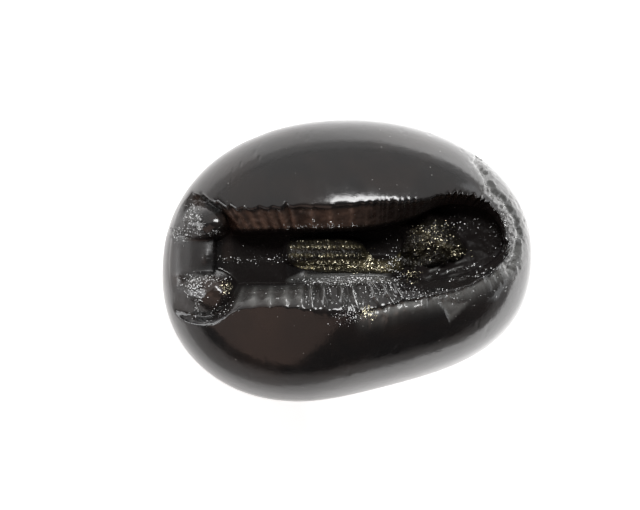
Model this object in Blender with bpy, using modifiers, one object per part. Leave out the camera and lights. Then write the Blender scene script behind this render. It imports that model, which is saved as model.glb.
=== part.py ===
"""Ammonite nodule: a river-worn black pebble, open along its face to the hollow that an ammonite left.

The pebble lies on its worn belly with the opening up. X runs along its length, Y across it and Z up,
and the origin is on the ground under the middle of its outline. Lengths here are in millimetres.
"""

import bmesh
import bpy
import numpy as np

MM = 0.001

# The pebble's body
HALF_LENGTH = 31.5
HALF_WIDTH = 24.3
OUTLINE_POWER = 2.2
OUTLINE_TRIM = -0.0136
# Each swell of the outline: waves round the pebble, share of the radius, direction of its crest in degrees
OUTLINE_SWELLS = ((1, 0.022, 160.0), (2, 0.043, 34.0), (3, 0.028, -8.0), (4, 0.007, -18.0))
GIRTH_HEIGHT = 17.5
FRONT_RISE = 20.0
FRONT_POWER = 2.1
BELLY_DROP = 18.2
BELLY_POWER = 2.5
WORN_FLAT_SHARE = 0.36

# The mouth of the hollow, rib by rib anticlockwise from its right end: mouth x and y, foot of the wall
# x and y, and the direction in degrees in which the outline lies beyond that stretch of mouth
MOUTH_ROWS = (
    (28.2, 3.5, 26.3, 3.3, 8),
    (27.6, 7.0, 25.4, 6.2, 18),
    (25.6, 9.9, 23.3, 8.2, 28),
    (21.5, 11.4, 19.8, 9.0, 38),
    (16.5, 11.5, 15.5, 8.8, 50),
    (11.0, 10.5, 10.5, 6.6, 64),
    (4.0, 10.2, 4.0, 4.8, 80),
    (-4.0, 9.8, -3.5, 4.4, 98),
    (-11.0, 9.4, -9.5, 4.3, 114),
    (-18.0, 9.1, -14.8, 4.2, 130),
    (-22.5, 10.0, -18.0, 4.0, 142),
    (-25.4, 11.4, -19.6, 3.4, 150.5),
    (-27.3, 10.7, -20.4, 2.6, 158),
    (-29.2, 7.4, -21.0, 1.8, 168),
    (-30.2, 0.5, -21.5, 0.2, 180),
    (-29.9, -5.5, -21.0, -1.6, 191),
    (-28.9, -9.2, -20.2, -2.6, 200),
    (-25.5, -10.6, -19.2, -3.4, 209),
    (-21.5, -9.9, -17.5, -3.9, 219),
    (-18.0, -8.1, -14.5, -3.9, 230),
    (-11.0, -7.6, -9.5, -3.8, 246),
    (-4.0, -8.3, -3.5, -2.8, 260),
    (2.5, -8.4, 1.2, -2.3, 276),
    (8.0, -6.9, 5.8, -2.4, 290),
    (14.0, -5.6, 11.4, -3.2, 305),
    (20.5, -4.3, 18.5, -2.4, 321),
    (25.0, -2.2, 23.0, -0.8, 337),
    (27.6, 0.6, 25.6, 1.2, 353),
)
FLOOR_HEIGHT = 23.0
CHAMBER_DROP = 3.5
RIB_HEIGHT = 0.42
# Ribbed stretches as shares of the upper and of the lower lip, from the right end to the left end
UPPER_RIBS = (0.25, 0.79)
LOWER_RIBS = (0.31, 0.83)

# The inner whorl, an ammonite seen from its rim, and the mound beside it
WHORL_CENTRE = (-3.7, 1.3)
WHORL_HALF_LENGTH = 7.0
WHORL_HALF_WIDTH = 2.8
WHORL_CREST = 29.4
MOUND_CENTRE = (14.8, 3.4)
MOUND_HALF_SIZE = (5.8, 4.9)
MOUND_CREST = 28.0
PIT_CENTRE = (19.7, 5.1)
PIT_RADIUS = 2.1
PIT_DEPTH = 3.4
LEDGE_HEIGHT = 26.6
SLOPE_RISE = 4.5

# The filled end of the outer whorl: two lobes, each with its y and the x of its tip, and a saddle
LOBES = ((6.5, -20.4), (-6.2, -19.6))
LOBE_HALF_WIDTH = 4.3
LOBE_NOSE = 5.0
LOBE_RECESS = 0.5
LOBE_ROUNDING = 4.2
SADDLE_END = -22.4
SADDLE_RECESS = 3.0

# The crystal crust on the whorl and the mound: x, lower edge y, upper edge y
CRUST_ROWS = (
    (-10.0, 0.2, 2.6),
    (-8.6, -0.9, 3.3),
    (-4.0, -1.5, 3.4),
    (0.0, -1.8, 3.4),
    (2.4, -1.9, 3.0),
    (4.6, -2.0, 1.0),
    (7.2, -2.1, 0.6),
    (9.4, -1.9, 3.0),
    (12.0, -1.6, 6.3),
    (15.0, -1.1, 7.2),
    (17.6, -0.4, 6.0),
    (19.6, 0.8, 2.6),
)
CRUST_GAP = 0.62
CRUST_THICKNESS = 0.5
CRUST_LUMP = 0.22

# Mesh steps
STEPS_ROUND = 136
BELLY_RINGS = 1
BACK_RINGS = 8
FRONT_RINGS = 5
WALL_RINGS = 7
FLOOR_RINGS = 6
CRUST_STEPS = (42, 9)

STONE_COLOUR = (0.013, 0.012, 0.012)
PYRITE_COLOUR = (0.17, 0.13, 0.055)


def smooth_step(low, high, value):
    """0 before low, 1 after high, and an S between them."""
    share = np.clip((value - low) / (high - low), 0.0, 1.0)
    return share * share * (3.0 - 2.0 * share)


def smooth_max(first, second, blend):
    """The larger of two heights, with a fillet of about the blend where they meet."""
    return 0.5 * (first + second + np.sqrt((first - second) ** 2 + blend**2))


def through_rows(rows, places):
    """A closed Catmull-Rom curve through the rows, read at the given places in row numbers."""
    rows = np.asarray(rows, float)
    index = np.floor(places).astype(int)
    t = (places - index)[:, None]
    before, start, end, after = (rows[(index + k) % len(rows)] for k in (-1, 0, 1, 2))
    return 0.5 * (
        2.0 * start
        + (end - before) * t
        + (2.0 * before - 5.0 * start + 4.0 * end - after) * t**2
        + (3.0 * (start - end) + after - before) * t**3
    )


def outline_radius(angle):
    """The pebble's radius in plan: a superellipse with a few swells round it."""
    flat = np.abs(np.cos(angle) / HALF_LENGTH) ** OUTLINE_POWER
    round_part = np.abs(np.sin(angle) / HALF_WIDTH) ** OUTLINE_POWER
    swell = 1.0 + OUTLINE_TRIM
    for waves, share, crest in OUTLINE_SWELLS:
        swell = swell + share * np.cos(waves * (angle - np.radians(crest)))
    return (flat + round_part) ** (-1.0 / OUTLINE_POWER) * swell


def outline_point(angle):
    radius = outline_radius(angle)
    return np.stack([radius * np.cos(angle), radius * np.sin(angle)], -1)


def share_of_outline(plan):
    """How far a point in plan lies from the middle, as a share of the outline's radius there."""
    angle = np.arctan2(plan[..., 1], plan[..., 0])
    return np.minimum(np.hypot(plan[..., 0], plan[..., 1]) / outline_radius(angle), 1.0)


def front_height(plan):
    share = share_of_outline(plan)
    return GIRTH_HEIGHT + FRONT_RISE * (1.0 - share**FRONT_POWER) ** (1.0 / FRONT_POWER)


def belly_height(share):
    """Height of the underside, which is worn flat in the middle."""
    drop = BELLY_DROP * np.sqrt(1.0 - share**BELLY_POWER)
    return np.maximum(GIRTH_HEIGHT - drop, 0.0)


def lobes_height(plan):
    """Top of the filled whorl at the left end: two rounded lobes beside a saddle with a steep end."""
    x, y = plan[..., 0], plan[..., 1]
    skin = front_height(plan)
    near_end = np.clip(1.0 - (SADDLE_END - x) / 3.0, 0.0, None)
    height = skin - SADDLE_RECESS - 1.5 * near_end**2 - 14.0 * np.maximum(x - SADDLE_END, 0.0)
    rounding = LOBE_ROUNDING * smooth_step(-33.0, -24.0, x)
    for lobe_y, tip_x in LOBES:
        across = (y - lobe_y) / LOBE_HALF_WIDTH
        along = np.maximum(1.0 - (tip_x - x) / LOBE_NOSE, 0.0)
        out = across**2 + along**2
        fall = 1.0 - np.sqrt(np.clip(1.0 - out, 0.0, 1.0)) + 2.0 * np.maximum(out - 1.0, 0.0)
        height = smooth_max(height, skin - LOBE_RECESS - rounding * fall, 0.4)
    return height


def bed_height(plan):
    """The bare floor, which drops toward the chamber at the right end."""
    return FLOOR_HEIGHT - CHAMBER_DROP * smooth_step(10.0, 22.0, plan[..., 0])


def whorl_height(plan):
    """The inner whorl standing on edge: flat-topped along X, rounded across Y."""
    along = np.abs((plan[..., 0] - WHORL_CENTRE[0]) / WHORL_HALF_LENGTH)
    across = np.abs((plan[..., 1] - WHORL_CENTRE[1]) / WHORL_HALF_WIDTH)
    inside = np.clip(1.0 - along**3.2 - across**3.4, 0.0, 1.0)
    return FLOOR_HEIGHT + (WHORL_CREST - FLOOR_HEIGHT) * np.sqrt(inside)


def mound_height(plan):
    """The lumpy mound in the right chamber, with a round pit in its far side."""
    x = (plan[..., 0] - MOUND_CENTRE[0]) / MOUND_HALF_SIZE[0]
    y = (plan[..., 1] - MOUND_CENTRE[1]) / MOUND_HALF_SIZE[1]
    inside = np.clip(1.0 - (x**2 + y**2) ** 1.3, 0.0, 1.0)
    lumps = 0.5 * np.sin(1.15 * plan[..., 0] + 0.6) * np.cos(1.3 * plan[..., 1])
    height = FLOOR_HEIGHT + (MOUND_CREST - FLOOR_HEIGHT) * np.sqrt(inside) + lumps * inside
    from_pit = np.hypot(plan[..., 0] - PIT_CENTRE[0], plan[..., 1] - PIT_CENTRE[1])
    return height - PIT_DEPTH * np.exp(-((from_pit / PIT_RADIUS) ** 2))


def ledge_height(plan):
    """The ledge below the whorl, a wedge that starts at a point on the left."""
    x, y = plan[..., 0], plan[..., 1]
    wedge = smooth_step(-11.5, -6.5, x) * smooth_step(10.5, 6.5, x)
    across = np.abs(y + 2.0) / 2.3
    return FLOOR_HEIGHT + (LEDGE_HEIGHT - FLOOR_HEIGHT) * wedge * np.exp(-(across**4))


def floor_height(plan):
    """Floor of the hollow with all that stands on it."""
    x, y = plan[..., 0], plan[..., 1]
    slope = smooth_step(9.0, 13.0, x) * smooth_step(1.6, -3.6, y - 0.2 * (x - 14.0))
    height = bed_height(plan) + SLOPE_RISE * slope
    for part in (whorl_height(plan), mound_height(plan), ledge_height(plan)):
        height = smooth_max(height, part, 0.5)
    return smooth_max(height, lobes_height(plan), 0.4)


def mouth_loops():
    """Mouth, foot of the wall, middle line and outline as loops that match step by step.

    Each lip is divided evenly along its length. The middle line is halfway between the two feet, so
    its points fall together in pairs and the floor closes along it.
    """
    row_count = len(MOUTH_ROWS)
    fine = np.linspace(0.0, row_count, 40 * row_count + 1)
    lips = through_rows([row[:2] for row in MOUTH_ROWS], fine)
    length = np.concatenate([[0.0], np.cumsum(np.hypot(*np.diff(lips, axis=0).T))])
    middle = len(fine) // 2
    half_steps = np.linspace(0.0, 1.0, STEPS_ROUND // 2 + 1)
    upper = np.interp(half_steps * length[middle], length, fine)
    lower = np.interp(length[middle] + half_steps * (length[-1] - length[middle]), length, fine)
    places = np.concatenate([upper[:-1], lower[:-1]])
    mouth = through_rows([row[:2] for row in MOUTH_ROWS], places)
    foot = through_rows([row[2:4] for row in MOUTH_ROWS], places)
    paired = foot[(-np.arange(STEPS_ROUND)) % STEPS_ROUND]
    angles = [row[4] for row in MOUTH_ROWS] + [MOUTH_ROWS[0][4] + 360]
    angle = np.radians(np.interp(places, np.arange(row_count + 1), angles))
    return mouth, foot, 0.5 * (foot + paired), outline_point(angle)


def rib_wave():
    """+1 and -1 by turns on the ribbed stretches of the lips and 0 beyond them, step by step."""
    step = np.arange(STEPS_ROUND)
    share = step / (STEPS_ROUND / 2)
    upper = smooth_step(UPPER_RIBS[0], UPPER_RIBS[0] + 0.06, share)
    upper = upper * smooth_step(UPPER_RIBS[1], UPPER_RIBS[1] - 0.06, share)
    back = 2.0 - share
    lower = smooth_step(LOWER_RIBS[0], LOWER_RIBS[0] + 0.06, back)
    lower = lower * smooth_step(LOWER_RIBS[1], LOWER_RIBS[1] - 0.06, back)
    return np.cos(np.pi * step) * (upper + lower)


def stone_rings():
    """The pebble's surface as rings, from the worn belly up round the girth and down into the hollow."""
    mouth, foot, middle, outline = mouth_loops()
    rings = []

    def add(plan, height):
        rings.append(np.column_stack([plan, np.broadcast_to(height, len(plan))]))

    for ring in range(BELLY_RINGS + 1):
        add(outline * WORN_FLAT_SHARE * ring / BELLY_RINGS, 0.0)
    first_turn = np.arcsin(WORN_FLAT_SHARE)
    for turn in np.linspace(first_turn, np.pi / 2, BACK_RINGS + 1)[1:]:
        add(outline * np.sin(turn), belly_height(np.sin(turn)))
    for turn in np.linspace(np.pi / 2, 0.0, FRONT_RINGS + 1)[1:]:
        plan = mouth + (outline - mouth) * np.sin(turn)
        add(plan, front_height(plan))
    inward = foot - mouth
    inward = inward / np.linalg.norm(inward, axis=1, keepdims=True)
    ribs = RIB_HEIGHT * rib_wave()
    lip = front_height(mouth)
    bend = 2.2 - 1.1 * smooth_step(-20.0, -26.0, mouth[:, 0])
    rings[-1][:, :2] += 0.3 * inward * ribs[:, None]
    for share in np.linspace(0.0, 1.0, WALL_RINGS + 1)[1:]:
        standing = ribs * np.interp(share, (0.0, 0.2, 0.7, 1.0), (0.3, 1.0, 1.0, 0.2))
        reach = 1.0 - (1.0 - share) ** bend
        plan = mouth + (foot - mouth) * reach[:, None] + inward * standing[:, None]
        sunk = 0.5 * share + 0.5 * share**3
        height = lip * (1.0 - sunk) + bed_height(plan) * sunk
        height = smooth_max(height, floor_height(plan), 0.4)
        add(plan, height + 0.6 * standing)
    for share in np.linspace(0.0, 1.0, FLOOR_RINGS + 1)[1:]:
        plan = foot + (middle - foot) * share
        add(plan, floor_height(plan))
    return np.array(rings)


def grid_mesh(name, columns, rows):
    """A flat grid from the grid primitive, with the column and row number of each vertex."""
    shape = bmesh.new()
    bmesh.ops.create_grid(shape, x_segments=columns, y_segments=rows, size=0.5)
    mesh = bpy.data.meshes.new(name)
    shape.to_mesh(mesh)
    shape.free()
    flat = np.empty(len(mesh.vertices) * 3, np.float32)
    mesh.vertices.foreach_get("co", flat)
    flat = flat.reshape(-1, 3)
    column = np.round((flat[:, 0] + 0.5) * columns).astype(int)
    row = np.round((flat[:, 1] + 0.5) * rows).astype(int)
    return mesh, column, row


def place_vertices(mesh, points):
    mesh.vertices.foreach_set("co", (points * MM).astype(np.float32).ravel())
    mesh.update()


def weld(mesh, distance=0.00002):
    shape = bmesh.new()
    shape.from_mesh(mesh)
    bmesh.ops.remove_doubles(shape, verts=shape.verts, dist=distance)
    shape.to_mesh(mesh)
    shape.free()


def make_material(name, colour, roughness, metallic):
    material = bpy.data.materials.new(name)
    material.use_nodes = True
    shader = material.node_tree.nodes["Principled BSDF"]
    shader.inputs["Base Color"].default_value = (*colour, 1.0)
    shader.inputs["Roughness"].default_value = roughness
    shader.inputs["Metallic"].default_value = metallic
    return material


def add_piece(name, mesh, material, collection):
    mesh.materials.append(material)
    piece = bpy.data.objects.new(name, mesh)
    collection.objects.link(piece)
    return piece


def make_nodule(material, collection):
    """One closed skin: a grid whose rings are laid on the stone and whose edges are then welded."""
    rings = stone_rings()
    low, high = rings[..., :2].min((0, 1)), rings[..., :2].max((0, 1))
    rings[..., :2] -= 0.5 * (low + high)
    mesh, column, row = grid_mesh("nodule", STEPS_ROUND, len(rings) - 1)
    place_vertices(mesh, rings[row, column % STEPS_ROUND])
    weld(mesh)
    nodule = add_piece("nodule", mesh, material, collection)
    mesh.shade_smooth()
    mesh.set_sharp_from_angle(angle=np.radians(40.0))
    return nodule, 0.5 * (low + high)


def make_crust(material, collection, middle):
    """A lumpy crust over the whorl and the mound, kept just clear of the stone below it."""
    mesh, column, row = grid_mesh("pyrite_crust", *CRUST_STEPS)
    along = column / CRUST_STEPS[0]
    across = row / CRUST_STEPS[1]
    x, low, high = np.array(CRUST_ROWS).T
    place = x[0] + (x[-1] - x[0]) * along
    lower, upper = np.interp(place, x, low), np.interp(place, x, high)
    plan = np.stack([place, lower + (upper - lower) * across], -1)
    lump = CRUST_LUMP * (1.0 + np.sin(2.9 * plan[:, 0]) * np.sin(3.4 * plan[:, 1] + plan[:, 0]))
    height = floor_height(plan) + CRUST_GAP + lump
    place_vertices(mesh, np.column_stack([plan - middle, height]))
    crust = add_piece("pyrite_crust", mesh, material, collection)
    shell = crust.modifiers.new("thickness", "SOLIDIFY")
    shell.thickness = CRUST_THICKNESS * MM
    shell.offset = 1.0
    mesh.shade_smooth()
    return crust


def main():
    for old in list(bpy.data.objects):
        bpy.data.objects.remove(old)
    collection = bpy.data.collections.new("ammonite_fossil")
    bpy.context.scene.collection.children.link(collection)
    stone = make_material("black_stone", STONE_COLOUR, 0.22, 0.0)
    pyrite = make_material("pyrite", PYRITE_COLOUR, 0.4, 0.8)
    _, middle = make_nodule(stone, collection)
    make_crust(pyrite, collection, middle)


main()
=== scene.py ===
import bmesh
import bpy
import numpy as np
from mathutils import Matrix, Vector


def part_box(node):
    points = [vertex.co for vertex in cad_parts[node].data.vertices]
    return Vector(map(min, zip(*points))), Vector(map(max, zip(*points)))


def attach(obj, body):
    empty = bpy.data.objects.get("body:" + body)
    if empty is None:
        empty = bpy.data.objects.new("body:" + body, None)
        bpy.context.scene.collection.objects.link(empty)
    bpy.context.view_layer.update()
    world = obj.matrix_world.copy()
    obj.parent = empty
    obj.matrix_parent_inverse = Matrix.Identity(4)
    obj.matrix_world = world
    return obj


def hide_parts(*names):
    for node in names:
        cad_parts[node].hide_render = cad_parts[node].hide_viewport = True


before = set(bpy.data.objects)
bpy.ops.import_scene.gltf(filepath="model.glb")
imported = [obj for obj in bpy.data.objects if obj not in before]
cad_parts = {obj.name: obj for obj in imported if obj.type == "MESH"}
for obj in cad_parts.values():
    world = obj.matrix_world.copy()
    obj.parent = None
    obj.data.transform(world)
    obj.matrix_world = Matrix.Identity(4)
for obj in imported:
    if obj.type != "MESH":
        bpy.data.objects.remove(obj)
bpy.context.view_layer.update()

boxLow, boxHigh = (np.array(corner) * 1000 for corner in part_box("nodule"))   # mm
mm = 0.001
print("frame loaded, nodule", np.round(boxHigh - boxLow, 1), "mm")

# What a user would change on the pebble's body. Lengths are in mm, here and below.
pebble = {
    "halfLength": 31.5,
    "halfWidth": 24.3,
    "outlinePower": 2.2,
    "outlineTrim": -0.0136,
    "outlineSwells": ((1, 0.022, 160.0), (2, 0.043, 34.0), (3, 0.028, -8.0), (4, 0.007, -18.0)),
    "girthHeight": 17.5,
    "frontRise": 20.0,
    "frontPower": 2.1,
    "bellyDrop": 18.2,
    "bellyPower": 2.5,
    "wornFlatShare": 0.36,
    "stepsRound": 832,
    "bellyRings": 3,
    "backRings": 19,
    "frontRings": 36,
    "frontSpread": 1.35,
    "wallRings": 34,
    "floorRings": 25,
}

# The hollow: mouth x and y, foot of its wall x and y, and the direction of the outline beyond it,
# anticlockwise from its right end.
hollow = {
    "rows": (
        (28.2, 3.5, 26.3, 3.3, 8),
        (27.6, 7.0, 25.4, 6.2, 18),
        (25.6, 9.9, 23.3, 8.2, 28),
        (21.5, 11.4, 19.8, 9.0, 38),
        (16.5, 11.5, 15.5, 8.8, 50),
        (11.0, 10.5, 10.5, 6.6, 64),
        (4.0, 10.2, 4.0, 4.8, 80),
        (-4.0, 9.8, -3.5, 4.4, 98),
        (-11.0, 9.4, -9.5, 4.3, 114),
        (-18.0, 9.1, -14.8, 4.2, 130),
        (-22.5, 10.0, -18.0, 4.0, 142),
        (-25.4, 11.4, -19.6, 3.4, 150.5),
        (-27.3, 10.7, -20.4, 2.6, 158),
        (-29.2, 7.4, -21.0, 1.8, 168),
        (-30.2, 0.5, -21.5, 0.2, 180),
        (-29.9, -5.5, -21.0, -1.6, 191),
        (-28.9, -9.2, -20.2, -2.6, 200),
        (-25.5, -10.6, -19.2, -3.4, 209),
        (-21.5, -9.9, -17.5, -3.9, 219),
        (-18.0, -8.1, -14.5, -3.9, 230),
        (-11.0, -7.6, -9.5, -3.8, 246),
        (-4.0, -8.3, -3.5, -2.8, 260),
        (2.5, -8.4, 1.2, -2.3, 276),
        (8.0, -6.9, 5.8, -2.4, 290),
        (14.0, -5.6, 11.4, -3.2, 305),
        (20.5, -4.3, 18.5, -2.4, 321),
        (25.0, -2.2, 23.0, -0.8, 337),
        (27.6, 0.6, 25.6, 1.2, 353),
    ),
    "floorHeight": 23.0,
    "chamberDrop": 3.5,
    "chamberFrom": (10.0, 22.0),
    "slopeRise": 4.5,
    "slopeFrom": (9.0, 13.0),
    "lipRounding": 7,
}

# The two long walls. Each goes gently inward and then drops: how far it has sunk, as a share of the
# wall's height, at each share of the way in. The left end's walls sink at once. The ribs' mould: where
# each rib crosses the wall's middle, how far it leans there, its half width and its height at each of the
# ribShares. The upper lip is moved inward by so much at each x. Here and below, a pair whose name ends
# in From or Share is where something starts and where it is full
walls = {
    "upper": {
        "wayIn": (0.0, 0.12, 0.78, 0.88, 1.0),
        "sunk": (0.0, 0.07, 0.36, 0.55, 1.0),
        "ribs": (-20.6, -19.2, -17.5, -15.7, -14.0, -12.2, -10.6, -9.0, -5.7, -2.6, 0.8, 3.4),
        "lean": ((-21.0, 0.75), (-9.0, 0.25), (0.0, 0.0)),
        "halfWidth": (0.5, 0.55, 0.5, 0.3),
        "height": (0.1, 0.5, 0.7, 0.0),
    },
    "lower": {
        "wayIn": (0.0, 0.35, 0.70, 0.84, 1.0),
        "sunk": (0.0, 0.085, 0.19, 0.36, 1.0),
        "ribs": (-19.9, -18.4, -15.6, -12.9, -10.2, -7.7, -6.0, -3.8, -0.8, 1.1, 4.3, 6.4, 8.2),
        "lean": ((-20.0, -0.7), (-16.0, -0.12), (-6.0, 0.08), (1.0, 0.22), (6.0, 0.6)),
        "halfWidth": (0.3, 0.75, 0.45, 0.25),
        "height": (0.1, 0.75, 1.85, 0.0),
        "scallop": 0.38,
    },
    "endSunk": (0.0, 0.45, 0.7, 0.85, 1.0),
    "endFrom": (-20.5, -24.0),
    "ribShares": (0.0, 0.32, 0.78, 1.0),
    "unevenness": 0.4,
    "strength": ((-16.0, -6.0), (0.8, 1.05)),
    "shortBy": 0.8,
    "shortShare": (0.35, 0.6),
    "shortFrom": (-7.0, -9.0),
    "footBlend": 0.4,
    "footShare": (1.0, 0.85),
    "narrower": (
        (-24.0, 0.0), (-21.0, 0.6), (-12.0, 0.7), (-8.0, 0.5), (-4.0, 0.75), (4.0, 0.6),
        (9.0, 0.8), (14.0, 0.75), (20.0, 0.9), (24.5, 1.6), (27.5, 1.5),
    ),
}

# The filled end of the outer whorl: each lobe's y, the x of its tip and its half width, and the saddle
lobes = {
    "places": ((6.7, -20.4, 3.3), (-6.0, -19.6, 4.1)),
    "nose": 5.0,
    "recess": 0.5,
    "reachFrom": (-32.2, -28.0),
    "rounding": 4.2,
    "roundingFrom": (-33.0, -24.0),
    "waveHalfWidth": 1.35,
    "waveFrom": (-23.6, -29.0),
    "saddleEnd": -22.4,
    "saddleRecess": 3.4,
    "saddleFrom": (-33.5, -24.0),
    "endRound": 4.5,
    "endDrop": 2.2,
    "endSlope": 14.0,
    "keelPlace": (-23.8, 0.6),
    "keelSize": (0.8, 1.2),
    "keelHeight": 0.3,
    "blend": (0.5, 0.9),
    "softFrom": (-22.8, -28.0),
    "spillY": 0.2,
    "spillHalfWidth": 4.2,
    "spillFrom": (-19.0, -24.0),
    "girthFade": 4.0,
}

# The inner whorl on edge, and the mound beside it with the pit in its far side
whorl = {
    "centre": (-3.7, 1.3),
    "halfLength": 7.0,
    "halfWidth": 2.8,
    "planPowers": (3.2, 3.4),
    "crest": 29.4,
    "beadPitch": 0.74,
    "beadRows": ((3.35, 0.6), (2.25, 1.0), (0.8, 1.0)),
    "beadHeight": 0.5,
}
mound = {
    "centre": (14.8, 3.4),
    "halfSize": (6.3, 5.3),
    "planPower": 1.2,
    "crest": 28.0,
    "domePower": 1.2,
    "raggedness": 0.3,
    "lumpSize": 2.2,
    "lumpHeight": 1.1,
    "pitCentre": (19.7, 5.1),
    "pitRadius": 2.1,
    "pitDepth": 3.4,
}

# The ledge below the whorl, and thin ridges on the slope at the right
ledge = {"crest": 26.6, "leftFrom": (-11.5, -6.5), "rightFrom": (10.5, 6.5), "y": -2.0, "halfWidth": 2.3}
striation = {
    "direction": (0.951, 0.309),
    "pitch": 1.0,
    "height": 0.38,
    "leftFrom": (12.8, 13.8),
    "rightFrom": (23.6, 22.4),
    "lowFrom": (-3.9, -3.2),
    "highFrom": (0.3, -0.4),
}


# 0 before low, 1 after high, and an S between them
def smoothStep(low, high, value):
    share = np.clip((value - low) / (high - low), 0.0, 1.0)
    return share * share * (3.0 - 2.0 * share)


# The larger of two heights, with a fillet of about the blend where they meet
def smoothMax(first, second, blend):
    return 0.5 * (first + second + np.sqrt((first - second) ** 2 + blend**2))


# Soft noise from -1 to 1: random values at the corners of cubes of one cell, eased between corners
def softNoise(points, cell, seed):
    values = np.random.default_rng(seed).uniform(-1.0, 1.0, (32, 32, 32))
    place = np.asarray(points, float) / cell + 500.5
    corner = np.floor(place).astype(int)
    ease = place - corner
    ease = ease * ease * (3.0 - 2.0 * ease)
    total = np.zeros(place.shape[:-1])
    for dx in (0, 1):
        for dy in (0, 1):
            for dz in (0, 1):
                weight = np.abs(1 - dx - ease[..., 0]) * np.abs(1 - dy - ease[..., 1])
                weight = weight * np.abs(1 - dz - ease[..., 2])
                i, j, k = ((corner + (dx, dy, dz)) % 32).transpose(-1, *range(corner.ndim - 1))
                total += weight * values[i, j, k]
    return total


# Rough noise: soft noise summed over halving cells with halving strength
def roughNoise(points, cell, seed, octaves=3):
    parts = [softNoise(points, cell / 2**n, seed + n) / 2**n for n in range(octaves)]
    return np.sum(parts, axis=0) / 1.6


# The same noise over a plan, for heights that depend on x and y alone
def planNoise(plan, cell, seed, octaves=3):
    return roughNoise(np.concatenate([plan, np.zeros((*plan.shape[:-1], 1))], -1), cell, seed, octaves)


# A closed Catmull-Rom curve through the rows, read at the given places in row numbers
def throughRows(rows, places):
    rows = np.asarray(rows, float)
    index = np.floor(places).astype(int)
    t = (places - index)[:, None]
    before, start, end, after = (rows[(index + k) % len(rows)] for k in (-1, 0, 1, 2))
    return 0.5 * (
        2.0 * start
        + (end - before) * t
        + (2.0 * before - 5.0 * start + 4.0 * end - after) * t**2
        + (3.0 * (start - end) + after - before) * t**3
    )


# The outline's radius in plan: a superellipse with a few swells round it
def outlineRadius(angle):
    p = pebble
    flat = np.abs(np.cos(angle) / p["halfLength"]) ** p["outlinePower"]
    flat = flat + np.abs(np.sin(angle) / p["halfWidth"]) ** p["outlinePower"]
    swell = 1.0 + p["outlineTrim"]
    for waves, share, crest in p["outlineSwells"]:
        swell = swell + share * np.cos(waves * (angle - np.radians(crest)))
    return flat ** (-1.0 / p["outlinePower"]) * swell


# How far a point lies from the middle, as a share of the outline's radius in its direction
def shareOfOutline(plan):
    angle = np.arctan2(plan[..., 1], plan[..., 0])
    return np.minimum(np.hypot(plan[..., 0], plan[..., 1]) / outlineRadius(angle), 1.0)


# The upper skin: a superellipse rise over the girth, falling from the middle to the outline
def frontHeight(plan):
    share = shareOfOutline(plan)
    power = pebble["frontPower"]
    return pebble["girthHeight"] + pebble["frontRise"] * (1.0 - share**power) ** (1.0 / power)


# How far the saddle lies under the skin: nothing at the outline, all of it over the hollow
def saddleDip(plan):
    return lobes["saddleRecess"] * smoothStep(*lobes["saddleFrom"], plan[..., 0])


# 1 where the saddle runs over the left end, 0 away from it
def spillWindow(plan):
    across = np.exp(-(((plan[..., 1] - lobes["spillY"]) / lobes["spillHalfWidth"]) ** 6))
    return across * smoothStep(*lobes["spillFrom"], plan[..., 0])


# The skin's height, let down to the saddle and the lobes' flanks where they run over the left end, but
# not right at the girth
def skinHeight(plan):
    skin = frontHeight(plan)
    aboveGirth = smoothStep(0.0, lobes["girthFade"], skin - pebble["girthHeight"])
    return skin - aboveGirth * spillWindow(plan) * (skin - lobesHeight(plan))


# The underside: a flatter bowl cut off level at the ground
def bellyHeight(share):
    drop = pebble["bellyDrop"] * np.sqrt(1.0 - share ** pebble["bellyPower"])
    return np.maximum(pebble["girthHeight"] - drop, 0.0)


# Two rounded lobes beside a saddle: ellipse-nosed ridges under the skin, the higher surface wins
def lobesHeight(plan):
    x, y = plan[..., 0], plan[..., 1]
    skin = frontHeight(plan)
    end = lobes["saddleEnd"]
    nearEnd = np.clip(1.0 - (end - x) / lobes["endRound"], 0.0, 1.0)
    height = skin - saddleDip(plan) - lobes["endDrop"] * nearEnd**2
    height = height - lobes["endSlope"] * np.maximum(x - end, 0.0)
    keelX = (x - lobes["keelPlace"][0]) / lobes["keelSize"][0]
    keelY = (y - lobes["keelPlace"][1]) / lobes["keelSize"][1]
    lumpy = 1.0 + 0.5 * planNoise(plan, 0.7, 47, 2)
    height = height + lobes["keelHeight"] * lumpy * np.exp(-keelX**2 - keelY**2)
    rounding = lobes["rounding"] * smoothStep(*lobes["roundingFrom"], x)
    reach = smoothStep(*lobes["reachFrom"], x)
    crisp, soft = lobes["blend"]
    blend = reach * (crisp + (soft - crisp) * smoothStep(*lobes["softFrom"], x))
    for lobeY, tipX, halfWidth in lobes["places"]:
        across = (y - lobeY) / halfWidth
        along = np.maximum(1.0 - (tipX - x) / lobes["nose"], 0.0)
        out = across**2 + along**2
        nose = 1.0 - np.sqrt(np.clip(1.0 - out, 0.0, 1.0)) + 2.0 * np.maximum(out - 1.0, 0.0)
        wave = 0.5 - 0.5 * np.cos(np.pi * np.clip(np.abs(across) / lobes["waveHalfWidth"], 0.0, 1.0))
        fall = nose + (wave - nose) * smoothStep(*lobes["waveFrom"], x)
        height = smoothMax(height, skin - reach * lobes["recess"] - rounding * fall, blend)
    return height


# The whorl on edge: a superellipse in plan with a rounded top
def whorlHeight(plan):
    along = np.abs((plan[..., 0] - whorl["centre"][0]) / whorl["halfLength"])
    across = np.abs((plan[..., 1] - whorl["centre"][1]) / whorl["halfWidth"])
    alongPower, acrossPower = whorl["planPowers"]
    inside = np.clip(1.0 - along**alongPower - across**acrossPower, 0.0, 1.0)
    return hollow["floorHeight"] + (whorl["crest"] - hollow["floorHeight"]) * np.sqrt(inside)


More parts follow.
